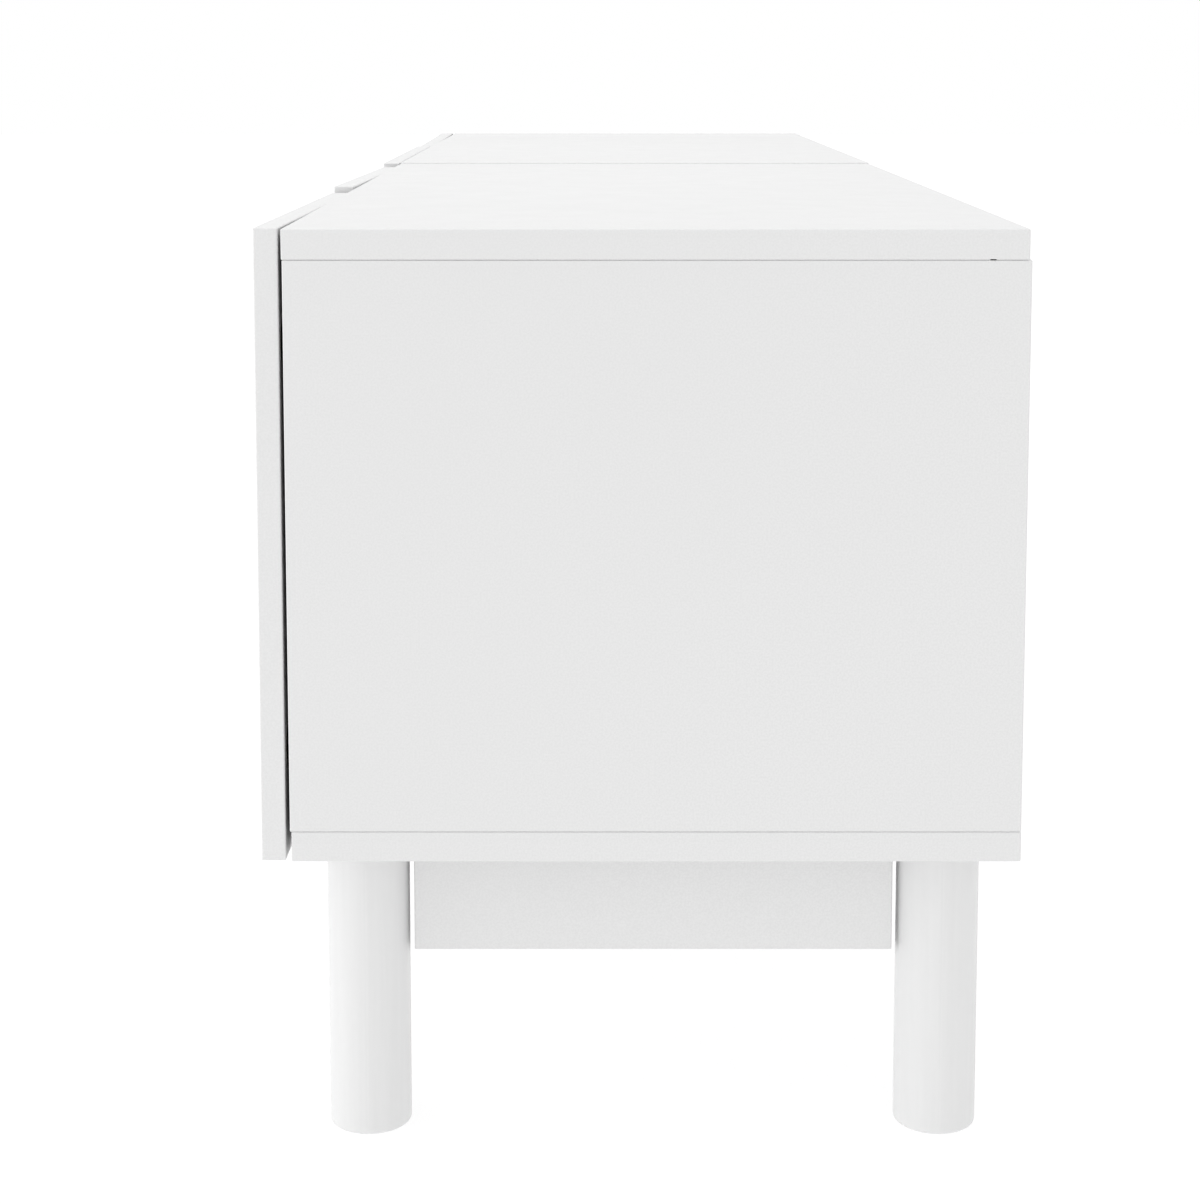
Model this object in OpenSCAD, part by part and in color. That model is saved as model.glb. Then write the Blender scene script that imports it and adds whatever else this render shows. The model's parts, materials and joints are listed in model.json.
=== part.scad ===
// Low TV stand with four overlay doors on round legs.
// Millimetres. X runs along the front, the doors face -Y, Z is up and the floor is z = 0.

/* [Body] */
// Length of the body, end to end
body_length = 1500; // [1400:10:1600]
// Depth of the body, without the doors
body_depth = 385; // [370:1:420]
// Height of the top surface above the floor
top_height = 500; // [490:1:520]
// Height of the underside of the body above the floor
body_base = 166; // [150:1:176]
// Thickness of the carcass boards
board_t = 16; // [16:0.5:18]
// Chamfer along the edges of every board
arris = 0.5; // [0.2:0.1:1]
// Gap of the seam between the two halves of the top and of the bottom
seam_gap = 0.6; // [0.4:0.1:1.5]
// Step by which the left half of the top stands above the right half
top_step = 0.7; // [0:0.1:1]
// Distance by which the top stands in front of the side panels
top_overhang = 0.4; // [0:0.1:0.6]
// Distance from the rear edge of the top to the rear edges of the side panels
top_rear_inset = 1.2; // [0:0.1:2]
// Setback of the bottom's front edge from the side panels
bottom_setback = 0.8; // [0:0.1:1]
// Thickness of the back panels
back_t = 3; // [2.5:0.5:4]
// Distance from a back panel to the rear edge of the body
back_inset = 18.5; // [6:0.5:22]
// Diameter of the cable hole in each back panel
cable_hole_d = 60; // [40:1:80]

/* [Shelves] */
// Setback of a shelf from the front edge of the body
shelf_setback = 27; // [20:1:60]
// Height of the shelf's underside above the floor
shelf_z = 325; // [315:1:335]
// Pitch of the shelf pin holes
pin_pitch = 32; // [25:1:32]
// Diameter of a shelf pin
pin_d = 5; // [4:0.5:6]

/* [Doors] */
// Thickness of a door
door_t = 12.7; // [12:0.1:16]
// Gap between each door and the body when it is closed, from the right end to the left end
door_gap = [2.3, 1.2, 1.6, 2.3]; // [1.2:0.1:2.5]
// Inset of an end door from the end of the body
end_inset = 2.2; // [2:0.1:3]
// Half of the gap between the two middle doors
centre_inset = 2.5; // [2.3:0.1:3]
// Gap between an end door and the door beside it
pair_gap = 3.7; // [3.5:0.1:4.5]
// Lean of each door in its own plane, in degrees
door_lean = [-0.45, -0.62, 0, 0.42]; // [-0.65:0.01:0.65]
// Lift of each door at its hinge edge
door_lift = [0.3, -2.6, 0.3, 1]; // [-2.6:0.1:1.5]
// Shift of each door along the front, away from its hinge edge
door_shift = [0, 1.8, 0, 0]; // [0:0.1:1.8]

/* [Hinges] */
// Diameter of a hinge cup
cup_d = 35; // [35:0.5:36]
// Depth of a hinge cup
cup_depth = 10; // [9:0.5:10.5]
// Distance from the door's hinge edge to the cup's centre
cup_setback = 22; // [21:0.5:23]
// Distance from the top and the bottom of the body to the nearest hinge
hinge_inset = 60; // [55:1:70]

/* [Push latches] */
// Diameter of a latch plunger
plunger_d = 10; // [8:0.5:10]
// Length of a latch plunger
plunger_length = 50; // [40:1:55]

/* [Legs] */
// Diameter of a leg
leg_d = 45; // [40:1:50]
// Distance from the end of the body to the axis of an end leg
leg_end_inset = 55; // [45:1:90]
// Distance from the front and rear edges of the body to the leg axes
leg_edge_inset = 36; // [30:1:45]
// Radius of the rounded foot edge of a leg
foot_round = 2.5; // [1:0.5:4]
// Height of a cross rail
rail_height = 66; // [50:1:75]
// Thickness of a cross rail
rail_t = 15; // [12:1:18]
// Gap between a cross rail and each leg
rail_gap = 3; // [1:0.5:5]

/* [Hidden] */
$fn = 48;

// Colours
white_board = [0.95, 0.95, 0.94];
white_front = [0.96, 0.96, 0.95];
white_leg = [0.97, 0.97, 0.96];
raw_board = [0.88, 0.87, 0.84];
nickel = [0.72, 0.72, 0.70];
zinc = [0.66, 0.67, 0.68];
beech = [0.80, 0.66, 0.47];
grey_plastic = [0.80, 0.80, 0.79];

// How far a cut runs past the face that it enters, and past both faces where it goes through
cut = 0.01;
through = 1;

// Body planes
half_length = body_length / 2;
overall_depth = body_depth + max(door_gap) + door_t;
front_y = -overall_depth / 2 + max(door_gap) + door_t;
rear_y = overall_depth / 2;
bottom_top_z = body_base + board_t;
top_under_z = top_height - board_t;
side_face_x = half_length - board_t;
middle_face_x = board_t / 2;
body_mid_z = (top_height + body_base) / 2;

// Relief that opens the joint between a side panel and the board above or below it
relief_height = 0.15;
relief_depth = 2.5;

// Back panel groove
groove_depth = 6;
groove_play = 0.1;
groove_run_out = 0.5;
back_y = rear_y - back_inset - back_t;

// Cable holes
cable_hole_shift = 10;
cable_hole_rise = 68;
cable_hole_x = half_length / 2 - cable_hole_shift;
cable_hole_z = bottom_top_z + cable_hole_rise;

// Board joints: cams, bolts and dowels
cam_r = 7.4;
cam_hole_r = 7.5;
cam_depth = 12.5;
cam_reach = 24;
cam_slot = [7, 1.2, 2];
cam_cavity_r = 3.4;
cam_bolt_r = 2.5;
cam_bolt_neck_r = 1.9;
cam_bolt_head_h = 3;
cam_bolt_hole_r = 3;
cam_bolt_anchor = 11;
dowel_r = 3;
dowel_in_panel = 12;
dowel_in_side = 18;
dowel_end_play = 0.5;
middle_bolt_x = middle_face_x / 2;
// Each row: x of the bolt, x of the face that the cam enters, direction into the board, cam ys, dowel ys
BOARD_JOINTS = [
    [half_length - middle_face_x, side_face_x, 1, [-90, 150], [-40, 100]],
    [-half_length + middle_face_x, -side_face_x, -1, [-90, 150], [-40, 100]],
    [middle_bolt_x, middle_face_x, -1, [-90, 150], [-40, 100]],
    [-middle_bolt_x, -middle_face_x, 1, [-110, 125], [-20, 80]]
];

// Shelves
shelf_side_play = 0.5;
shelf_rear_play = 2;
pin_front_inset = 65;
pin_rear_inset = 50;
pin_ys = [front_y + pin_front_inset, rear_y - pin_rear_inset];
pin_depth = 6;
pin_length = 16;
PIN_FACES = [
    [side_face_x, 1], [middle_face_x, -1], [-middle_face_x, 1], [-side_face_x, -1]
];

// Doors: x of the hinge edge and the direction from it along the door, from the right end to the left end
door_w = (half_length - end_inset - centre_inset - pair_gap) / 2;
DOOR_EDGES = [
    [half_length - end_inset, -1], [centre_inset, 1],
    [-centre_inset, -1], [-half_length + end_inset, 1]
];

// Hinges, in door coordinates: u along the door from its hinge edge, v forward from the body's front plane
HINGE_ZS = [body_base + hinge_inset, top_height - hinge_inset];
cup_r = cup_d / 2;
cup_wall = 1.2;
cup_rim = 0.2;
flange_t = 1.5;
flange_height = 60;
flange_end_u = 34;
cup_screw_u = 28;
cup_screw_z = 24;
cup_screw_r = 1.75;
cup_screw_head_r = 3;
cup_screw_head_t = 0.3;
cup_screw_length = 10;
link_pivot = [17.6, 0.4];
link_crank = [36, -3.5];
link_tip_u = 35.5;
link_tip_depth = 6;
link_height = 8;
link_t = 1.6;
link_eye_r = 2.6;
link_tip_r = 1.6;
link_pin_r = 1.5;
running_play = 0.05;
arm_cheek_t = 1.5;
arm_side_play = 0.4;
arm_u = 15.8;
arm_rear_v = -62;
arm_neck_v = -8;
arm_web_t = 1.5;
arm_web_u = 24;
arm_web_inset = 0.5;
arm_half = link_height / 2 + arm_side_play + arm_cheek_t;
plate_front_v = -22;
plate_wing_t = 2;
plate_wing_z = 27;
plate_wing_half = 8;
plate_screw_v = -37;
plate_screw_z = 20;
plate_screw_r = 2;
plate_screw_head_r = 3.6;
plate_screw_head_t = 2;
plate_screw_length = 9;

// Push latches, in door coordinates
latch_edge_inset = 25;
latch_half = 7;
latch_u = door_w - latch_edge_inset;
latch_z = top_under_z - latch_half;
latch_front_v = -2;
latch_length = 60;
latch_ear_half = 14;
latch_ear_t = 2;
latch_ear_length = 16;
latch_ear_v = -30;
latch_screw_x = 10.5;
latch_screw_r = 1.75;
latch_screw_head_r = 3;
latch_screw_head_t = 1.8;
latch_screw_length = 12;
latch_tail = 1;
strike_play = 0.2;
strike_r = 6.5;
strike_t = 1;

// Legs, inserts and joint plates
leg_r = leg_d / 2;
leg_x = half_length - leg_end_inset;
leg_front_y = front_y + leg_edge_inset;
leg_rear_y = rear_y - leg_edge_inset;
bolt_r = 4;
bolt_hole_in_leg = 40;
bolt_in_leg = 39;
bolt_in_body = 12;
insert_r = 6;
insert_depth = 13;
joint_plate_t = 2.5;
joint_plate_x = 60;
joint_plate_y = 23;
joint_collar_r = 8;
joint_collar_h = 8.5;
joint_collar_hole_r = 8.2;
joint_collar_hole_h = 9;
joint_screw_x = 45;
joint_screw_y = 14;
joint_screw_r = 2;
joint_screw_head_r = 4;
joint_screw_head_t = 2;
joint_screw_length = 11;

// Cross recess of a screw head
recess_span = 0.55;
recess_width = 0.8;
recess_share = 0.5;

// Cross rails and their brackets
rail_front_y = leg_front_y + leg_r + rail_gap;
rail_rear_y = leg_rear_y - leg_r - rail_gap;
rail_mid_y = (rail_front_y + rail_rear_y) / 2;
bracket_y = 80;
bracket_leg = 30;
bracket_screw_reach = 18;
bracket_t = 2;
bracket_width = 18;
bracket_screw_r = 1.9;
bracket_screw_head_r = 3.6;
bracket_screw_head_t = 1.8;
bracket_screw_length = 11;
// Each row: x of the rail's middle plane, then the side that each of its two brackets stands on
RAILS = [[leg_x, [-1, -1]], [0, [1, -1]], [-leg_x, [1, 1]]];

// A box given by its two corners
module block(low, high) {
    translate(low) cube(high - low);
}

// A board given by its two corners, with an arris along all its edges
module board(low, high) {
    size = high - low;
    translate(low) intersection() {
        linear_extrude(height = size[2]) eased(size[0], size[1]);
        translate([0, size[1], 0]) rotate([90, 0, 0])
            linear_extrude(height = size[1]) eased(size[0], size[2]);
        rotate([90, 0, 90]) linear_extrude(height = size[0]) eased(size[1], size[2]);
    }
}

module eased(width, height) {
    polygon([
        [arris, 0], [width - arris, 0], [width, arris], [width, height - arris],
        [width - arris, height], [arris, height], [0, height - arris], [0, arris]
    ]);
}

// An upright cylinder between two heights
module post(x, y, low, high, r) {
    translate([x, y, low]) cylinder(r = r, h = high - low);
}

// A cylinder that starts at a face and runs along X in the given direction
module stub(face, y, z, direction, length, r) {
    translate([face, y, z]) rotate([0, 90 * direction, 0]) cylinder(r = r, h = length);
}

// Children drawn in door coordinates: X is u, Y is v
module at_door(index) {
    edge = DOOR_EDGES[index];
    if (edge[1] < 0) {
        translate([edge[0], front_y, 0]) rotate([0, 0, 180]) children();
    } else {
        translate([edge[0], front_y, 0]) mirror([0, 1, 0]) children();
    }
}

// Cylinder along v, forward from the plane v = start
module along_v(u, z, start, length, r) {
    translate([u, start, z]) rotate([-90, 0, 0]) cylinder(r = r, h = length);
}

// v of the free end of a latch plunger, short of its strike plate
function plunger_tip_v(index) = door_gap[index] - strike_t - strike_play;

// Pan head screw that points up from z = 0, its head below
module screw_up(r, length, head_r, head_t) {
    cylinder(r = r, h = length);
    translate([0, 0, -head_t]) difference() {
        cylinder(r = head_r, h = head_t);
        cross_recess(head_r, head_t);
    }
}

module cross_recess(head_r, head_t) {
    for (turn = [0, 90]) rotate([0, 0, turn]) {
        block([-head_r * recess_span, -recess_width / 2, -through],
              [head_r * recess_span, recess_width / 2, head_t * recess_share]);
    }
}

// ---- Holes that the fittings need ----

module bolt_and_dowel_holes_above() {
    for (j = BOARD_JOINTS) {
        for (y = j[3]) {
            post(j[0], y, top_under_z - cut, top_under_z + cam_bolt_anchor, cam_bolt_r);
        }
        for (y = j[4]) {
            post(j[0], y, top_under_z - cut, top_under_z + dowel_in_panel + dowel_end_play, dowel_r);
        }
    }
}

module bolt_and_dowel_holes_below() {
    for (j = BOARD_JOINTS) {
        for (y = j[3]) {
            post(j[0], y, bottom_top_z - cam_bolt_anchor, bottom_top_z + cut, cam_bolt_r);
        }
        for (y = j[4]) {
            post(j[0], y, bottom_top_z - dowel_in_panel - dowel_end_play, bottom_top_z + cut, dowel_r);
        }
    }
}

module upright_holes(joint) {
    for (y = joint[3]) {
        for (z = [bottom_top_z + cam_reach, top_under_z - cam_reach]) {
            stub(joint[1] - cut * joint[2], y, z, joint[2], cam_depth + cut, cam_hole_r);
        }
        post(joint[0], y, bottom_top_z - cut, bottom_top_z + cam_reach, cam_bolt_hole_r);
        post(joint[0], y, top_under_z - cam_reach, top_under_z + cut, cam_bolt_hole_r);
    }
    depth = dowel_in_side + dowel_end_play;
    for (y = joint[4]) {
        post(joint[0], y, bottom_top_z - cut, bottom_top_z + depth, dowel_r);
        post(joint[0], y, top_under_z - depth, top_under_z + cut, dowel_r);
    }
}

module pin_holes(face) {
    for (y = pin_ys, row = [-1, 0, 1]) {
        stub(face[0] - cut * face[1], y, shelf_z - pin_d / 2 + row * pin_pitch,
             face[1], pin_depth + cut, pin_d / 2);
    }
}

module hinge_plate_holes(index) {
    depth = plate_screw_length - plate_wing_t;
    at_door(index) for (z = HINGE_ZS, side = [-1, 1]) {
        translate([plate_face_u(index), plate_screw_v, z + side * plate_screw_z])
            rotate([0, -90, 0]) translate([0, 0, -cut])
            cylinder(r = plate_screw_r, h = depth + cut);
    }
}

// u of the panel face that a door's hinge plates stand on
function plate_face_u(index) =
    index == 0 || index == 3 ? board_t - end_inset : middle_face_x - centre_inset;

module back_groove() {
    for (side = [-1, 1]) {
        low_x = middle_face_x - groove_depth - groove_play;
        high_x = side_face_x + groove_depth + groove_play;
        block([side > 0 ? low_x : -high_x, back_y - groove_play,
               bottom_top_z - groove_depth - groove_play],
              [side > 0 ? high_x : -low_x, back_y + back_t + groove_play,
               top_under_z + groove_depth + groove_play]);
    }
}

// Shallow end of the top's groove, where the saw runs out through the end face
module groove_end(side) {
    translate([side * half_length, back_y + back_t / 2, top_under_z])
        cube([2 * board_t, back_t + 2 * groove_play, 2 * groove_run_out], center = true);
}

// ---- Boards ----

// Half of the top or of the bottom, given by its y limits and its z limits;
// side is 1 on the right and -1 on the left
module long_half(side, ys, zs) {
    near = seam_gap / 2;
    board([side > 0 ? near : -half_length, ys[0], zs[0]],
          [side > 0 ? half_length : -near, ys[1], zs[1]]);
}

module top_panel(side) {
    color(white_board) difference() {
        long_half(side, [front_y - top_overhang, rear_y - top_rear_inset],
                  [top_under_z, side > 0 ? top_height : top_height + top_step]);
        bolt_and_dowel_holes_above();
        back_groove();
        groove_end(side);
        for (index = [0:3]) at_door(index) latch_screw_holes();
    }
}

module latch_screw_holes() {
    for (x = [-1, 1]) {
        translate([latch_u + x * latch_screw_x, latch_ear_v, top_under_z - cut])
            cylinder(r = latch_screw_r, h = latch_screw_length - latch_ear_t + cut);
    }
}

module bottom_panel(side) {
    color(white_board) difference() {
        long_half(side, [front_y + bottom_setback, rear_y], [body_base, bottom_top_z]);
        bolt_and_dowel_holes_below();
        back_groove();
        for (y = [leg_front_y, leg_rear_y]) {
            post(side * leg_x, y, body_base - cut, body_base + insert_depth, insert_r);
            post(0, y, body_base - cut, body_base + joint_collar_hole_h, joint_collar_hole_r);
            for (dy = [-1, 1]) {
                post(side * joint_screw_x, y + dy * joint_screw_y, body_base - cut,
                     body_base + joint_screw_length - joint_plate_t, joint_screw_r);
            }
        }
        bracket_holes_above();
    }
}

// Wedge that thins the outer edge of a side panel at height z; up is 1 at its top and -1 at its foot
module edge_relief(side, z, up) {
    drop = relief_height * (1 + through / relief_depth);
    translate([side * half_length, rear_y + through, z]) rotate([90, 0, 0])
        linear_extrude(height = body_depth + 2 * through)
        polygon([[-side * relief_depth, 0], [side * through, -up * drop],
                 [side * through, up * through], [-side * relief_depth, up * through]]);
}

module side_panel(index) {
    color(white_board) difference() {
        side = index == 0 ? 1 : -1;
        board([side > 0 ? side_face_x : -half_length, front_y, bottom_top_z],
              [side > 0 ? half_length : -side_face_x, rear_y, top_under_z]);
        edge_relief(side, top_under_z, 1);
        edge_relief(side, bottom_top_z, -1);
        upright_holes(BOARD_JOINTS[index]);
        pin_holes(PIN_FACES[index == 0 ? 0 : 3]);
        hinge_plate_holes(index == 0 ? 0 : 3);
        back_groove();
    }
}

module centre_partition() {
    color(white_board) difference() {
        board([-middle_face_x, front_y, bottom_top_z], [middle_face_x, rear_y, top_under_z]);
        for (index = [2, 3]) upright_holes(BOARD_JOINTS[index]);
        for (index = [1, 2]) {
            pin_holes(PIN_FACES[index]);
            hinge_plate_holes(index);
        }
        back_groove();
    }
}

module shelf(side) {
    low_x = middle_face_x + shelf_side_play;
    high_x = side_face_x - shelf_side_play;
    color(white_board)
        board([side > 0 ? low_x : -high_x, front_y + shelf_setback, shelf_z],
              [side > 0 ? high_x : -low_x, back_y - shelf_rear_play, shelf_z + board_t]);
}

module back_panel(side) {
    low_x = middle_face_x - groove_depth;
    high_x = side_face_x + groove_depth;
    color(raw_board) difference() {
        block([side > 0 ? low_x : -high_x, back_y, bottom_top_z - groove_depth],
              [side > 0 ? high_x : -low_x, back_y + back_t, top_under_z + groove_depth]);
        translate([side * cable_hole_x, back_y - through, cable_hole_z])
            rotate([-90, 0, 0]) cylinder(r = cable_hole_d / 2, h = back_t + 2 * through);
    }
}

// ---- Legs ----

module leg(x, y, length) {
    color(white_leg) translate([x, y, 0]) difference() {
        rotate_extrude() polygon(concat(
            [[0, 0]],
            [for (a = [-90:15:0]) [leg_r - foot_round + foot_round * cos(a),
                                   foot_round + foot_round * sin(a)]],
            [[leg_r, length], [0, length]]
        ));
        translate([0, 0, length - bolt_hole_in_leg]) cylinder(r = bolt_r, h = bolt_hole_in_leg + through);
    }
}

module end_leg(side, y) {
    leg(side * leg_x, y, body_base);
}

module middle_leg(y) {
    leg(0, y, body_base - joint_plate_t);
}

module leg_bolts() {
    color(zinc) for (x = [-leg_x, 0, leg_x], y = [leg_front_y, leg_rear_y]) {
        joint = x == 0 ? body_base - joint_plate_t : body_base;
        reach = x == 0 ? joint_collar_hole_h : bolt_in_body;
        post(x, y, joint - bolt_in_leg, joint + reach, bolt_r - running_play);
    }
}

module leg_inserts() {
    color(zinc) for (x = [-leg_x, leg_x], y = [leg_front_y, leg_rear_y]) {
        difference() {
            post(x, y, body_base, body_base + insert_depth, insert_r);
            post(x, y, body_base - through, body_base + insert_depth + through, bolt_r);
        }
    }
}

module joint_plates() {
    low_z = body_base - joint_plate_t;
    color(zinc) for (y = [leg_front_y, leg_rear_y]) difference() {
        union() {
            block([-joint_plate_x, y - joint_plate_y, low_z],
                  [joint_plate_x, y + joint_plate_y, body_base]);
            post(0, y, low_z, body_base + joint_collar_h, joint_collar_r);
        }
        post(0, y, low_z - through, body_base + joint_collar_h + through, bolt_r);
        for (dx = [-1, 1], dy = [-1, 1]) {
            post(dx * joint_screw_x, y + dy * joint_screw_y, low_z - through, body_base + through,
                 joint_screw_r);
        }
    }
}

module joint_plate_screws() {
    color(nickel) for (y = [leg_front_y, leg_rear_y], dx = [-1, 1], dy = [-1, 1]) {
        translate([dx * joint_screw_x, y + dy * joint_screw_y, body_base - joint_plate_t])
            screw_up(joint_screw_r, joint_screw_length, joint_screw_head_r, joint_screw_head_t);
    }
}

// ---- Cross rails ----

module cross_rail(index) {
    x = RAILS[index][0];
    color(white_board) difference() {
        board([x - rail_t / 2, rail_front_y, body_base - rail_height],
              [x + rail_t / 2, rail_rear_y, body_base]);
        at_brackets(index) rotate([0, -90, 0]) translate([bracket_screw_reach, 0, -cut])
            cylinder(r = bracket_screw_r, h = bracket_screw_length - bracket_t + cut);
    }
}

// Children drawn at each bracket of one rail: the origin is the corner between rail and body,
// X leads away from the rail and Z leads down
module at_brackets(index) {
    rail = RAILS[index];
    for (end = [0, 1]) {
        side = rail[1][end];
        y = rail_mid_y + (end == 0 ? -bracket_y : bracket_y);
        translate([rail[0] + side * rail_t / 2, y, body_base])
            rotate([180, 0, side > 0 ? 0 : 180]) children();
    }
}

module bracket_holes_above() {
    for (index = [0:2]) at_brackets(index) {
        translate([bracket_screw_reach, 0, -bracket_screw_length + bracket_t])
            cylinder(r = bracket_screw_r, h = bracket_screw_length);
    }
}

module bracket() {
    difference() {
        rotate([90, 0, 0]) translate([0, 0, -bracket_width / 2])
            linear_extrude(height = bracket_width)
            polygon([[0, 0], [bracket_leg, 0], [bracket_leg, bracket_t],
                     [bracket_t, bracket_t], [bracket_t, bracket_leg], [0, bracket_leg]]);
        translate([bracket_screw_reach, 0, -through])
            cylinder(r = bracket_screw_r, h = bracket_t + 2 * through);
        translate([-through, 0, bracket_screw_reach]) rotate([0, 90, 0])
            cylinder(r = bracket_screw_r, h = bracket_t + 2 * through);
    }
}

module rail_brackets() {
    color(zinc) for (index = [0:2]) at_brackets(index) bracket();
}

module rail_bracket_screws() {
    color(nickel) for (index = [0:2]) at_brackets(index) {
        translate([bracket_screw_reach, 0, bracket_t]) rotate([180, 0, 0])
            screw_up(bracket_screw_r, bracket_screw_length, bracket_screw_head_r, bracket_screw_head_t);
        translate([bracket_t, 0, bracket_screw_reach]) rotate([0, -90, 0])
            screw_up(bracket_screw_r, bracket_screw_length, bracket_screw_head_r, bracket_screw_head_t);
    }
}

// ---- Board fittings ----

module cam_locks() {
    color(zinc) for (j = BOARD_JOINTS, y = j[3], end = [-1, 1]) {
        z = end < 0 ? bottom_top_z + cam_reach : top_under_z - cam_reach;
        difference() {
            stub(j[1], y, z, j[2], cam_depth, cam_r);
            translate([j[0], y, z]) rotate([end < 0 ? 180 : 0, 0, 0])
                translate([0, 0, -cam_cavity_r])
                cylinder(r = cam_cavity_r, h = cam_cavity_r + cam_hole_r + through);
            translate([j[1], y, z]) rotate([0, 90, 0]) cube(cam_slot, center = true);
        }
    }
}

module cam_bolts() {
    color(nickel) for (j = BOARD_JOINTS, y = j[3], end = [-1, 1]) {
        face = end < 0 ? bottom_top_z : top_under_z;
        translate([j[0], y, face]) rotate([end < 0 ? 0 : 180, 0, 0]) {
            translate([0, 0, -cam_bolt_anchor]) cylinder(r = cam_bolt_r, h = cam_bolt_anchor);
            cylinder(r = cam_bolt_neck_r, h = cam_reach);
            translate([0, 0, cam_reach - cam_bolt_head_h]) cylinder(r = cam_bolt_r, h = cam_bolt_head_h);
        }
    }
}

module dowels() {
    color(beech) for (j = BOARD_JOINTS, y = j[4]) {
        post(j[0], y, bottom_top_z - dowel_in_panel, bottom_top_z + dowel_in_side, dowel_r);
        post(j[0], y, top_under_z - dowel_in_side, top_under_z + dowel_in_panel, dowel_r);
    }
}

module shelf_pins() {
    color(nickel) for (face = PIN_FACES, y = pin_ys) {
        stub(face[0] + face[1] * pin_depth, y, shelf_z - pin_d / 2, -face[1], pin_length, pin_d / 2);
    }
}

// ---- Doors ----

module door(index) {
    edge = DOOR_EDGES[index];
    back = door_gap[index];
    shift = edge[1] * door_shift[index];
    color(white_front) difference() {
        translate([edge[0] + shift, 0, body_mid_z + door_lift[index]])
            rotate([0, door_lean[index], 0]) translate([-edge[0], 0, -body_mid_z]) at_door(index)
            board([0, back, body_base], [door_w, back + door_t, top_height]);
        at_door(index) for (z = HINGE_ZS) {
            along_v(cup_setback, z, back - cut, cup_depth + cut, cup_r);
            for (side = [-1, 1]) {
                along_v(cup_screw_u, z + side * cup_screw_z, back - cut,
                        cup_screw_length - flange_t + cut, cup_screw_r);
            }
        }
    }
}

module hinge_cups(index) {
    back = door_gap[index];
    color(nickel) at_door(index) for (z = HINGE_ZS) difference() {
        union() {
            along_v(cup_setback, z, back - cup_rim, cup_depth + cup_rim, cup_r);
            block([cup_setback, back - flange_t, z - flange_height / 2],
                  [flange_end_u, back, z + flange_height / 2]);
        }
        along_v(cup_setback, z, back - flange_t - through, cup_depth - cup_wall + flange_t + through,
                cup_r - cup_wall);
        for (side = [-1, 1]) {
            along_v(cup_screw_u, z + side * cup_screw_z, back - flange_t - through,
                    flange_t + 2 * through, cup_screw_r);
        }
    }
}

module cup_screws(index) {
    color(nickel) at_door(index) for (z = HINGE_ZS, side = [-1, 1]) {
        translate([cup_screw_u, door_gap[index] - flange_t, z + side * cup_screw_z]) {
            rotate([-90, 0, 0]) cylinder(r = cup_screw_r, h = cup_screw_length);
            rotate([90, 0, 0]) cylinder(r = cup_screw_head_r, h = cup_screw_head_t);
        }
    }
}

// Straight strap between two points of the plane, with round ends
module strap(from, to, width) {
    span = to - from;
    translate(from) rotate(atan2(span[1], span[0])) translate([0, -width / 2])
        square([norm(span), width]);
    translate(to) circle(d = width);
}

module hinge_links(index) {
    link_tip = [link_tip_u, door_gap[index] + link_tip_depth];
    color(nickel) at_door(index) for (z = HINGE_ZS) {
        translate([0, 0, z - link_height / 2]) linear_extrude(height = link_height) difference() {
            union() {
                translate(link_pivot) circle(r = link_eye_r);
                strap(link_pivot, link_crank, link_t);
                strap(link_crank, link_tip, link_t);
                translate(link_tip) circle(r = link_tip_r);
            }
            translate(link_pivot) circle(r = link_pin_r + running_play);
        }
    }
}

module arm_cheek() {
    translate(link_pivot) circle(r = link_eye_r);
    translate([arm_u, arm_rear_v]) square([arm_web_u - arm_u, arm_neck_v - arm_rear_v]);
    translate([link_pivot[0] - link_eye_r, arm_neck_v - through])
        square([2 * link_eye_r, link_pivot[1] - arm_neck_v + through]);
}

module hinge_arms() {
    color(nickel) for (index = [0:3]) at_door(index) for (z = HINGE_ZS) {
        for (side = [-1, 1]) {
            low = side > 0 ? arm_half - arm_cheek_t : -arm_half;
            translate([0, 0, z + low]) linear_extrude(height = arm_cheek_t) arm_cheek();
        }
        block([arm_web_u - arm_web_t, arm_rear_v, z - arm_half + arm_web_inset],
              [arm_web_u, arm_neck_v, z + arm_half - arm_web_inset]);
        translate([link_pivot[0], link_pivot[1], z - arm_half])
            cylinder(r = link_pin_r, h = 2 * arm_half);
    }
}

module hinge_plates() {
    color(zinc) for (index = [0:3]) at_door(index) for (z = HINGE_ZS) difference() {
        face = plate_face_u(index);
        union() {
            block([face, arm_rear_v, z - arm_half], [arm_u, plate_front_v, z + arm_half]);
            block([face, plate_screw_v - plate_wing_half, z - plate_wing_z],
                  [face + plate_wing_t, plate_screw_v + plate_wing_half, z + plate_wing_z]);
        }
        for (side = [-1, 1]) {
            translate([face - through, plate_screw_v, z + side * plate_screw_z]) rotate([0, 90, 0])
                cylinder(r = plate_screw_r, h = plate_wing_t + 2 * through);
        }
    }
}

module hinge_plate_screws() {
    color(nickel) for (index = [0:3]) at_door(index) for (z = HINGE_ZS, side = [-1, 1]) {
        translate([plate_face_u(index) + plate_wing_t, plate_screw_v, z + side * plate_screw_z])
            rotate([0, -90, 0])
            screw_up(plate_screw_r, plate_screw_length, plate_screw_head_r, plate_screw_head_t);
    }
}

// ---- Push latches ----

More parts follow.
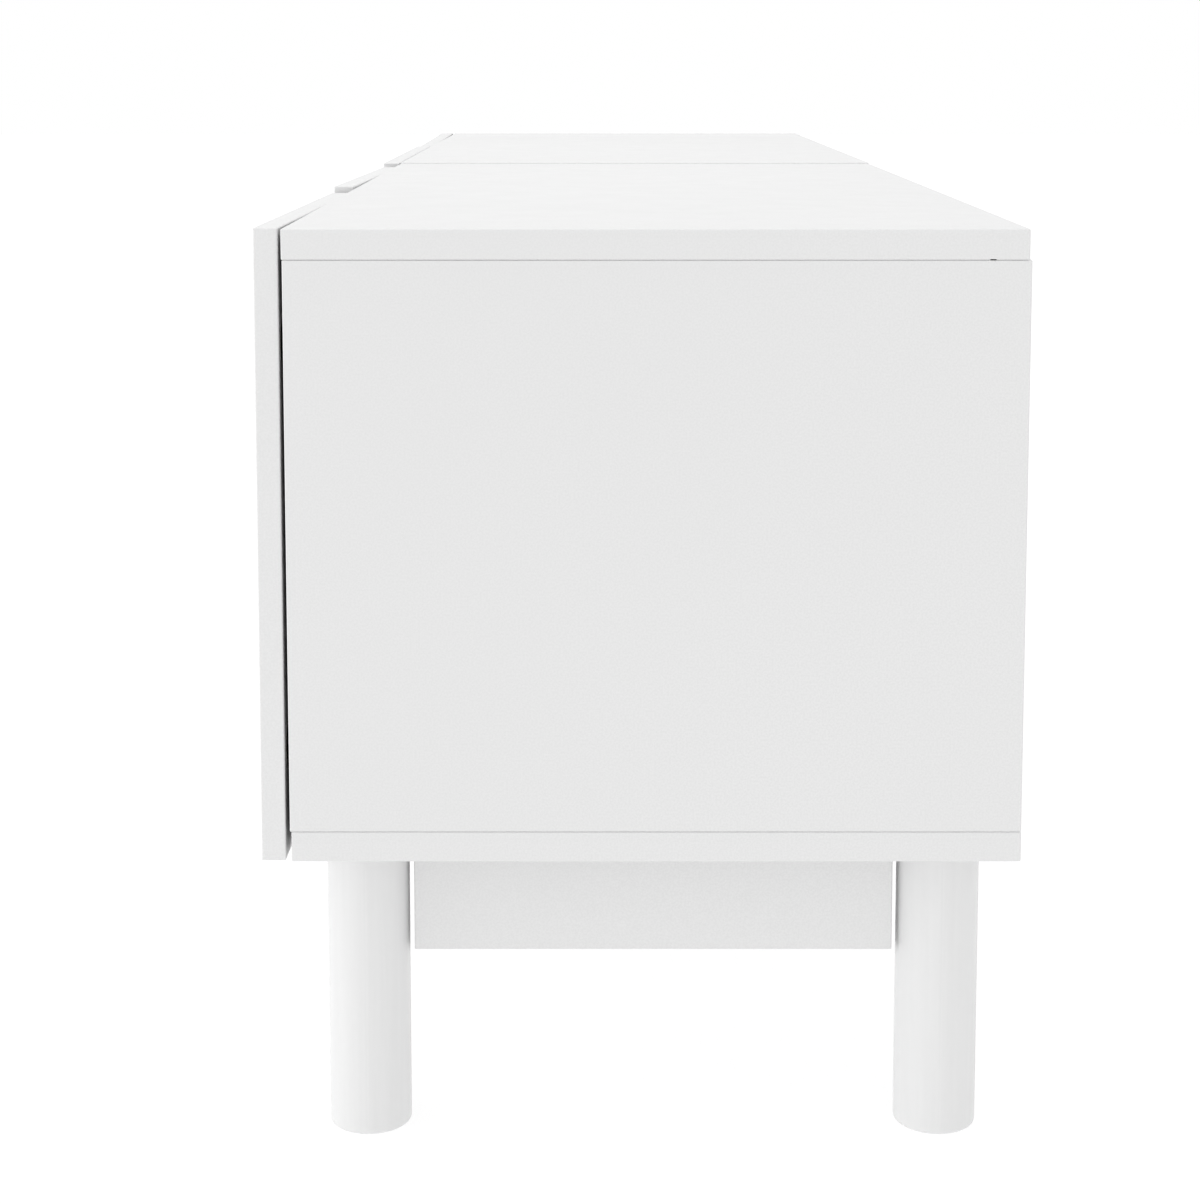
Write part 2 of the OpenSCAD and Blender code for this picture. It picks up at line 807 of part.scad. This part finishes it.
module latch_housings() {
    color(grey_plastic) for (index = [0:3]) at_door(index) difference() {
        union() {
            block([latch_u - latch_half, latch_front_v - latch_length, latch_z - latch_half],
                  [latch_u + latch_half, latch_front_v, top_under_z]);
            block([latch_u - latch_ear_half, latch_ear_v - latch_ear_length / 2, top_under_z - latch_ear_t],
                  [latch_u + latch_ear_half, latch_ear_v + latch_ear_length / 2, top_under_z]);
        }
        along_v(latch_u, latch_z, plunger_tip_v(index) - plunger_length - latch_tail,
                plunger_length + latch_tail + through, plunger_d / 2 + running_play);
        for (x = [-1, 1]) {
            translate([latch_u + x * latch_screw_x, latch_ear_v, top_under_z - latch_ear_t - through])
                cylinder(r = latch_screw_r, h = latch_ear_t + 2 * through);
        }
    }
}

module latch_screws() {
    color(nickel) for (index = [0:3], x = [-1, 1]) at_door(index) {
        translate([latch_u + x * latch_screw_x, latch_ear_v, top_under_z - latch_ear_t])
            screw_up(latch_screw_r, latch_screw_length, latch_screw_head_r, latch_screw_head_t);
    }
}

module latch_plunger(index) {
    color(grey_plastic) at_door(index)
        along_v(latch_u, latch_z, plunger_tip_v(index) - plunger_length, plunger_length,
                plunger_d / 2);
}

module strike_plate(index) {
    color(zinc) at_door(index)
        along_v(latch_u, latch_z, door_gap[index] - strike_t, strike_t, strike_r);
}

top_panel(1);  // top_panel_right
top_panel(-1);  // top_panel_left
bottom_panel(1);  // bottom_panel_right
bottom_panel(-1);  // bottom_panel_left
side_panel(0);  // side_panel_right
side_panel(1);  // side_panel_left
centre_partition();
shelf(1);  // shelf_right
shelf(-1);  // shelf_left
back_panel(1);  // back_panel_right
back_panel(-1);  // back_panel_left
end_leg(1, leg_front_y);  // leg_front_right
end_leg(1, leg_rear_y);  // leg_rear_right
middle_leg(leg_front_y);  // leg_front_middle
middle_leg(leg_rear_y);  // leg_rear_middle
end_leg(-1, leg_front_y);  // leg_front_left
end_leg(-1, leg_rear_y);  // leg_rear_left
cross_rail(0);  // cross_rail_right
cross_rail(1);  // cross_rail_middle
cross_rail(2);  // cross_rail_left
leg_bolts();
leg_inserts();
joint_plates();
joint_plate_screws();
rail_brackets();
rail_bracket_screws();
cam_locks();
cam_bolts();
dowels();
shelf_pins();
hinge_arms();
hinge_plates();
hinge_plate_screws();
latch_housings();
latch_screws();
door(0);  // door_right_outer
door(1);  // door_right_inner
door(2);  // door_left_inner
door(3);  // door_left_outer
hinge_cups(0);  // hinge_cups_right_outer
hinge_cups(1);  // hinge_cups_right_inner
hinge_cups(2);  // hinge_cups_left_inner
hinge_cups(3);  // hinge_cups_left_outer
cup_screws(0);  // cup_screws_right_outer
cup_screws(1);  // cup_screws_right_inner
cup_screws(2);  // cup_screws_left_inner
cup_screws(3);  // cup_screws_left_outer
hinge_links(0);  // hinge_links_right_outer
hinge_links(1);  // hinge_links_right_inner
hinge_links(2);  // hinge_links_left_inner
hinge_links(3);  // hinge_links_left_outer
latch_plunger(0);  // latch_plunger_right_outer
latch_plunger(1);  // latch_plunger_right_inner
latch_plunger(2);  // latch_plunger_left_inner
latch_plunger(3);  // latch_plunger_left_outer
strike_plate(0);  // strike_plate_right_outer
strike_plate(1);  // strike_plate_right_inner
strike_plate(2);  // strike_plate_left_inner
strike_plate(3);  // strike_plate_left_outer
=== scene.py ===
import json
import math

import bmesh
import bpy
from mathutils import Matrix, Vector


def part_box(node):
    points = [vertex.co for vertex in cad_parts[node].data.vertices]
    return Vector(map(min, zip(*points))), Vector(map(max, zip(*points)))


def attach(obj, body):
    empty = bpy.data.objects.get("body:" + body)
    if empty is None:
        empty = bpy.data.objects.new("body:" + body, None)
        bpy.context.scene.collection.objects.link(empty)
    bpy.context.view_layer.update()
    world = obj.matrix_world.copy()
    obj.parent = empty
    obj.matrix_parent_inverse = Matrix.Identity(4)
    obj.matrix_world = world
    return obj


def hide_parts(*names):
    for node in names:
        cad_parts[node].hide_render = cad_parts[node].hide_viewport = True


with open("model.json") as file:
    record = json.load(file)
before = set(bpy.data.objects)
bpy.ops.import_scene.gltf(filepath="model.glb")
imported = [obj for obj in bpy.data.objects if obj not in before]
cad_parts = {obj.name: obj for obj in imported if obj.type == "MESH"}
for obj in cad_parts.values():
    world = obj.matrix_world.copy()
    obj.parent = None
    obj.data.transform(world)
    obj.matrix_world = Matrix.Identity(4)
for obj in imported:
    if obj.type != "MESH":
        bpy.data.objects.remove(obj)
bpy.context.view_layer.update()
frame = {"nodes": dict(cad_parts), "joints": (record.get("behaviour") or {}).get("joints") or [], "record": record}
nodes = frame["nodes"]
scene = bpy.context.scene

SIDES = ("right_outer", "right_inner", "left_inner", "left_outer")
MM = 0.001
SQUARE = ((-1, -1), (1, -1), (1, 1), (-1, 1))

# ---- Camera ----

FOCAL_PX = 2416
FRAME_LONG_SIDE_PX = 1204
SENSOR_MM = 36
CAMERA_PLACE = (1.984, -0.0217, 0.5883)
CAMERA_PITCH_DEG = 6.37
CAMERA_SHIFT_Y = -0.23
CLIP_NEAR = 0.02
CLIP_FAR = 60


def make_camera():
    data = bpy.data.cameras.new("camera")
    data.sensor_width = SENSOR_MM
    data.lens = FOCAL_PX / FRAME_LONG_SIDE_PX * SENSOR_MM
    data.shift_y = CAMERA_SHIFT_Y
    data.clip_start = CLIP_NEAR
    data.clip_end = CLIP_FAR
    camera = bpy.data.objects.new("camera", data)
    camera.location = CAMERA_PLACE
    camera.rotation_euler = (math.radians(90 - CAMERA_PITCH_DEG), 0, math.radians(90))
    scene.collection.objects.link(camera)
    scene.camera = camera


# ---- Shader helpers ----

# Sockets of a Mix node in its colour mode: the two colours and their mix
MIX_FIRST = 6
MIX_SECOND = 7
MIX_RESULT = 2


class Shader:
    """A material under construction: a Principled shader with coordinates in the object's own space.

    A noise's scale is in cycles per metre.
    """

    def __init__(self, name, **sockets):
        self.material = bpy.data.materials.new(name)
        self.material.use_nodes = True
        self.tree = self.material.node_tree
        self.principled = self.tree.nodes["Principled BSDF"]
        self.coordinates = self.tree.nodes.new("ShaderNodeTexCoord").outputs["Object"]
        self.normal = None
        for socket, value in sockets.items():
            self.principled.inputs[socket.replace("_", " ")].default_value = value

    def link(self, source, target):
        self.tree.links.new(source, target)

    def noise(self, scale, detail=2.0, stretch=(1, 1, 1), roughness=0.5):
        mapping = self.tree.nodes.new("ShaderNodeMapping")
        mapping.inputs["Scale"].default_value = stretch
        self.link(self.coordinates, mapping.inputs["Vector"])
        texture = self.tree.nodes.new("ShaderNodeTexNoise")
        texture.inputs["Scale"].default_value = scale
        texture.inputs["Detail"].default_value = detail
        texture.inputs["Roughness"].default_value = roughness
        self.link(mapping.outputs["Vector"], texture.inputs["Vector"])
        return texture.outputs["Fac"]

    def spread(self, value, low, high, from_low=0.3, from_high=0.7):
        node = self.tree.nodes.new("ShaderNodeMapRange")
        node.inputs["From Min"].default_value = from_low
        node.inputs["From Max"].default_value = from_high
        node.inputs["To Min"].default_value = low
        node.inputs["To Max"].default_value = high
        self.link(value, node.inputs["Value"])
        return node.outputs["Result"]

    def mix(self, factor, first, second):
        """A colour between two; each may be a colour or a socket."""
        node = self.tree.nodes.new("ShaderNodeMix")
        node.data_type = "RGBA"
        self.link(factor, node.inputs["Factor"])
        for value, socket in ((first, node.inputs[MIX_FIRST]), (second, node.inputs[MIX_SECOND])):
            if isinstance(value, tuple):
                socket.default_value = (*value, 1)
            else:
                self.link(value, socket)
        return node.outputs[MIX_RESULT]

    def colour(self, value):
        self.link(value, self.principled.inputs["Base Color"])

    def roughness(self, value):
        self.link(value, self.principled.inputs["Roughness"])

    def bump(self, height, depth_mm, strength=1.0):
        """Adds one layer of relief, on top of those before it."""
        node = self.tree.nodes.new("ShaderNodeBump")
        node.inputs["Strength"].default_value = strength
        node.inputs["Distance"].default_value = depth_mm * MM
        self.link(height, node.inputs["Height"])
        if self.normal is not None:
            self.link(self.normal, node.inputs["Normal"])
        self.normal = node.outputs["Normal"]
        self.link(self.normal, self.principled.inputs["Normal"])


def laminate(name, tint, shade):
    """Satin white melamine: a faint cloudiness, fine specks and a pearl-grain relief."""
    shader = Shader(name, Specular_IOR_Level=0.45)
    cloud = shader.spread(shader.noise(2.6, 3), 0, 1)
    base = shader.mix(cloud, shade, tint)
    speck = shader.spread(shader.noise(900, 1), 0, 1, 0.35, 0.65)
    speck_tone = tuple(channel * 0.985 for channel in shade)
    shader.colour(shader.mix(speck, speck_tone, base))
    shader.roughness(shader.spread(shader.noise(45, 3), 0.38, 0.5))
    shader.bump(shader.noise(3.5, 1), 0.10, 0.5)
    shader.bump(shader.noise(1400, 2), 0.012, 0.8)
    return shader.material


def leg_paint(name, tint, shade):
    """Satin paint on turned wood: long upright grain that the paint has almost filled."""
    shader = Shader(name, Specular_IOR_Level=0.5)
    grain = shader.noise(260, 3, (1, 1, 0.04))
    shader.colour(shader.mix(shader.spread(grain, 0, 1), shade, tint))
    shader.roughness(shader.spread(shader.noise(60, 2), 0.34, 0.46))
    shader.bump(grain, 0.02, 0.6)
    shader.bump(shader.noise(350, 2), 0.015, 0.7)
    return shader.material


def hardboard(name, tint, shade):
    """White-faced hardboard: matt, with a fine screen weave."""
    shader = Shader(name, Specular_IOR_Level=0.3)
    fibre = shader.noise(420, 4, roughness=0.65)
    shader.colour(shader.mix(shader.spread(fibre, 0, 1), shade, tint))
    shader.roughness(shader.spread(shader.noise(30, 2), 0.6, 0.78))
    shader.bump(shader.noise(700, 3, roughness=0.7), 0.05, 0.7)
    return shader.material


def metal(name, tint, shade, rough_low, rough_high, stretch=(1, 1, 1), relief_mm=0.01):
    """Plated or cast metal, with streaks in its colour and relief."""
    shader = Shader(name, Metallic=1.0)
    streak = shader.noise(320, 4, stretch)
    shader.colour(shader.mix(shader.spread(streak, 0, 1), shade, tint))
    shader.roughness(shader.spread(shader.noise(140, 3), rough_low, rough_high))
    shader.bump(streak, relief_mm, 0.6)
    return shader.material


def plastic(name, tint, shade):
    """Moulded plastic with a fine spark-eroded texture."""
    shader = Shader(name, Specular_IOR_Level=0.5)
    shader.colour(shader.mix(shader.spread(shader.noise(60, 2), 0, 1), shade, tint))
    shader.roughness(shader.spread(shader.noise(90, 2), 0.42, 0.55))
    shader.bump(shader.noise(2200, 2), 0.01, 0.8)
    return shader.material


def bare_wood(name, tint, shade):
    """Unfinished wood with upright grain."""
    shader = Shader(name, Specular_IOR_Level=0.3)
    grain = shader.noise(300, 4, (1, 1, 0.06), 0.6)
    shader.colour(shader.mix(shader.spread(grain, 0, 1), shade, tint))
    shader.roughness(shader.spread(grain, 0.55, 0.75))
    shader.bump(grain, 0.05, 0.7)
    return shader.material


# ---- Stage ----

VIEW_GAMMA = 0.72
SKY_FRONT = (1.0, 1.0, 1.0, 1.0)
SKY_REAR = (0.77, 0.77, 0.77, 1.0)
FLOOR_HALF_SIZE = 16
FLOOR_TONE = (0.28, 0.28, 0.28, 1.0)
FLOOR_GLOW = (1.0, 1.0, 1.0, 1.0)
FLOOR_GLOW_STRENGTH = 0.77
FRONT_SOFTBOX = dict(place=(1.15, -3.0, 0.40), target=(0.6, 0, 0.1), size=0.9, power=9)
OVERHEAD_SOFTBOX = dict(place=(0.2, -0.4, 3.4), target=(0.0, 0, 0.4), size=2.6, power=17)


def make_world():
    """A white room whose light falls off a little towards the rear; the camera sees it plain white."""
    world = bpy.data.worlds.new("studio")
    scene.world = world
    scene.view_settings.view_transform = "Standard"
    scene.view_settings.gamma = VIEW_GAMMA
    world.use_nodes = True
    tree = world.node_tree
    direction = tree.nodes.new("ShaderNodeTexCoord").outputs["Generated"]
    axes = tree.nodes.new("ShaderNodeSeparateXYZ")
    rearward = tree.nodes.new("ShaderNodeMapRange")
    light = tree.nodes.new("ShaderNodeMix")
    light.data_type = "RGBA"
    light.inputs[MIX_FIRST].default_value = SKY_FRONT
    light.inputs[MIX_SECOND].default_value = SKY_REAR
    seen = tree.nodes.new("ShaderNodeMix")
    seen.data_type = "RGBA"
    seen.inputs[MIX_SECOND].default_value = SKY_FRONT
    camera_ray = tree.nodes.new("ShaderNodeLightPath").outputs["Is Camera Ray"]
    tree.links.new(direction, axes.inputs["Vector"])
    tree.links.new(axes.outputs["Y"], rearward.inputs["Value"])
    tree.links.new(rearward.outputs["Result"], light.inputs["Factor"])
    tree.links.new(light.outputs[MIX_RESULT], seen.inputs[MIX_FIRST])
    tree.links.new(camera_ray, seen.inputs["Factor"])
    tree.links.new(seen.outputs[MIX_RESULT], tree.nodes["Background"].inputs["Color"])


def make_floor():
    mesh = bpy.data.meshes.new("floor")
    corners = [(x * FLOOR_HALF_SIZE, y * FLOOR_HALF_SIZE, 0) for x, y in SQUARE]
    mesh.from_pydata(corners, [], [(0, 1, 2, 3)])
    floor = bpy.data.objects.new("floor", mesh)
    scene.collection.objects.link(floor)
    shader = Shader(
        "floor_white",
        Roughness=0.9,
        Specular_IOR_Level=0.0,
        Base_Color=FLOOR_TONE,
        Emission_Color=FLOOR_GLOW,
        Emission_Strength=FLOOR_GLOW_STRENGTH,
    )
    mesh.materials.append(shader.material)


def area_light(name, place, target, size, power):
    data = bpy.data.lights.new(name, "AREA")
    data.shape = "SQUARE"
    data.size = size
    data.energy = power
    light = bpy.data.objects.new(name, data)
    light.location = place
    direction = Vector(target) - Vector(place)
    light.rotation_euler = direction.to_track_quat("-Z", "Y").to_euler()
    scene.collection.objects.link(light)


def make_lights():
    area_light("front_softbox", **FRONT_SOFTBOX)
    area_light("overhead_softbox", **OVERHEAD_SOFTBOX)


# ---- Finishes of the CAD nodes ----

WHITE = (0.845, 0.845, 0.845)
WHITE_SHADE = (0.83, 0.83, 0.83)


def finishes():
    """A material for each material slot of the record."""
    return {
        "white_laminate_top": laminate("laminate_top", WHITE, WHITE_SHADE),
        "white_laminate": laminate("laminate_white", WHITE, WHITE_SHADE),
        "door_lacquer": laminate("laminate_door", WHITE, WHITE_SHADE),
        "leg_paint": leg_paint("leg_paint", WHITE, WHITE_SHADE),
        "back_board": hardboard("back_board", (0.78, 0.78, 0.77), (0.72, 0.72, 0.71)),
        "beech": bare_wood("beech_dowel", (0.62, 0.42, 0.24), (0.40, 0.24, 0.12)),
        "zinc_steel": metal("zinc_plate", (0.66, 0.68, 0.70), (0.52, 0.54, 0.56), 0.28, 0.45),
        "nickel_steel": metal(
            "nickel_plate", (0.72, 0.70, 0.67), (0.60, 0.58, 0.55), 0.16, 0.3, (1, 1, 0.1), 0.004
        ),
        "cast_zinc": metal("cast_zinc", (0.50, 0.51, 0.52), (0.40, 0.41, 0.42), 0.4, 0.6, relief_mm=0.03),
        "grey_plastic": plastic("grey_plastic", (0.60, 0.60, 0.59), (0.54, 0.54, 0.53)),
    }


def dress_cad_nodes(materials):
    for part in frame["record"]["subparts"]:
        node = nodes[part["node"]]
        node.data.materials.clear()
        node.data.materials.append(materials[part["material_slot"]])


# ---- Small fittings added to the CAD nodes ----

# Turned profiles are (radius, height) points in millimetres, with the seen side up
STRIKE_DISC = [
    (0, -1.0), (6.3, -1.0), (6.5, -0.8), (6.5, -0.2), (6.3, 0), (3.3, 0), (2.0, -0.95), (0, -0.95)
]
STRIKE_HEAD = [(0, -0.9), (1.9, -0.9), (3.1, -0.1), (2.95, -0.04), (0, -0.04)]
STRIKE_RECESS = dict(span=1.6 * MM, width=0.6 * MM, top=0.4 * MM, floor=-0.65 * MM)
ADJUSTER_HEAD = [(0, -0.8), (2.9, -0.8), (3.1, -0.6), (3.1, 0.6), (2.8, 0.95), (2.2, 1.05), (0, 1.05)]
ADJUSTER_RECESS = dict(span=1.9 * MM, width=0.8 * MM, top=1.6 * MM, floor=0.25 * MM)
# The adjusting screws' places in a hinge arm: out from the link's pin, and back from it
ADJUSTER_OUT = 6.4 * MM
ADJUSTERS_BACK = (22 * MM, 50 * MM)
# Half the height of a hinge cup's flange
CUP_PLATE_HALF = 30 * MM
TURNED_SEGMENTS = 32
DISC_SEGMENTS = 64
# How much narrower a screw recess is at its floor
BIT_TAPER = 0.55


def lathe(bm, profile, segments=TURNED_SEGMENTS):
    """A closed turned shape from (radius, height) points that start and end on the axis.

    It starts half a step round, so that no edge runs through a corner of the recess.
    """
    rings = []
    for radius, height in profile:
        if radius == 0:
            rings.append([bm.verts.new((0, 0, height))])
            continue
        turns = [2 * math.pi * (k + 0.5) / segments for k in range(segments)]
        rings.append([bm.verts.new((radius * math.cos(t), radius * math.sin(t), height)) for t in turns])
    for lower, upper in zip(rings, rings[1:]):
        for k in range(segments):
            near = [ring[k % len(ring)] for ring in (upper, lower)]
            far = [ring[(k + 1) % len(ring)] for ring in (lower, upper)]
            corners = list(dict.fromkeys([near[0], near[1], far[0], far[1]]))
            bm.faces.new(corners)


def cross_cutter(name, span, width, top, floor):
    """A cross-shaped tool whose arms taper to its floor, as a driver bit does."""
    bm = bmesh.new()
    half = width / 2
    rings = []
    for height, reach in ((floor, span * BIT_TAPER), (top, span)):
        ring = []
        for quarter in range(4):
            turn = Matrix.Rotation(quarter * math.pi / 2, 3, "Z")
            for x, y in ((half, -half), (reach, -half), (reach, half)):
                ring.append(bm.verts.new(turn @ Vector((x, y, height))))
        rings.append(ring)
    lower, upper = rings
    bm.faces.new(list(reversed(lower)))
    bm.faces.new(upper)
    count = len(lower)
    for k in range(count):
        after = (k + 1) % count
        bm.faces.new([lower[k], lower[after], upper[after], upper[k]])
    mesh = bpy.data.meshes.new(name)
    bm.to_mesh(mesh)
    bm.free()
    tool = bpy.data.objects.new(name, mesh)
    scene.collection.objects.link(tool)
    return tool


def screw_head_mesh(name, profile, recess):
    """One turned screw head with its cross recess cut in, its axis along Z and its top up."""
    bm = bmesh.new()
    lathe(bm, profile)
    mesh = bpy.data.meshes.new(name)
    bm.to_mesh(mesh)
    bm.free()
    head = bpy.data.objects.new(name, mesh)
    scene.collection.objects.link(head)
    tool = cross_cutter(name + "_tool", **recess)
    cut = head.modifiers.new("recess", "BOOLEAN")
    cut.operation = "DIFFERENCE"
    cut.solver = "EXACT"
    cut.object = tool
    bpy.context.view_layer.update()
    evaluated = head.evaluated_get(bpy.context.evaluated_depsgraph_get())
    result = bpy.data.meshes.new_from_object(evaluated)
    for leftover in (head, tool):
        bpy.data.objects.remove(leftover)
    return result


def fittings_piece(name, body, material, head, places):
    """One piece made of copies of a head mesh; each place is a point and the way its top faces."""
    bm = bmesh.new()
    for point, facing in places:
        copy = head.copy()
        turn = Vector(facing).to_track_quat("Z", "X").to_matrix().to_4x4()
        copy.transform(Matrix.Translation(point) @ turn)
        bm.from_mesh(copy)
        bpy.data.meshes.remove(copy)
    mesh = bpy.data.meshes.new(name)
    bm.to_mesh(mesh)
    bm.free()
    mesh.materials.append(material)
    piece = bpy.data.objects.new(name, mesh)
    scene.collection.objects.link(piece)
    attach(piece, body)
    return piece


def in_metres(profile):
    return [(radius * MM, height * MM) for radius, height in profile]


def add_strike_discs(disc_material, screw_material):
    """Each latch strike as a chamfered disc, countersunk for the screw that holds it."""
    bm = bmesh.new()
    lathe(bm, in_metres(STRIKE_DISC), DISC_SEGMENTS)
    disc = bpy.data.meshes.new("strike_disc")
    bm.to_mesh(disc)
    bm.free()
    head = screw_head_mesh("strike_screw_head", in_metres(STRIKE_HEAD), STRIKE_RECESS)
    for side in SIDES:
        low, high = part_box("strike_plate_" + side)
        face = Vector(((low[0] + high[0]) / 2, high[1], (low[2] + high[2]) / 2))
        place = [(face, (0, 1, 0))]
        body = "door_body_" + side
        plate = fittings_piece("strike_disc_" + side, body, disc_material, disc, place)
        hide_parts("strike_plate_" + side)
        fittings_piece("strike_screw_" + side, body, screw_material, head, place)


def add_hinge_adjusters(material):
    """Two adjusting screws in the web of each hinge arm."""
    head = screw_head_mesh("adjuster_head", in_metres(ADJUSTER_HEAD), ADJUSTER_RECESS)
    places = []
    for side in SIDES:
        cups_low, cups_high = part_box("hinge_cups_" + side)
        door_low, door_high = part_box("door_" + side)
        pin = Vector(next(j["pos_m"] for j in frame["joints"] if j["name"] == "link_turn_" + side))
        inward = 1 if (door_low[0] + door_high[0]) / 2 > pin.x else -1
        for z in (cups_low[2] + CUP_PLATE_HALF, cups_high[2] - CUP_PLATE_HALF):
            for back in ADJUSTERS_BACK:
                places.append((Vector((pin.x + inward * ADJUSTER_OUT, pin.y + back, z)), (inward, 0, 0)))
    fittings_piece("hinge_adjusters", "carcass", material, head, places)


make_camera()
make_world()
make_floor()
make_lights()
materials = finishes()
dress_cad_nodes(materials)
add_strike_discs(materials["zinc_steel"], materials["nickel_steel"])
add_hinge_adjusters(materials["nickel_steel"])
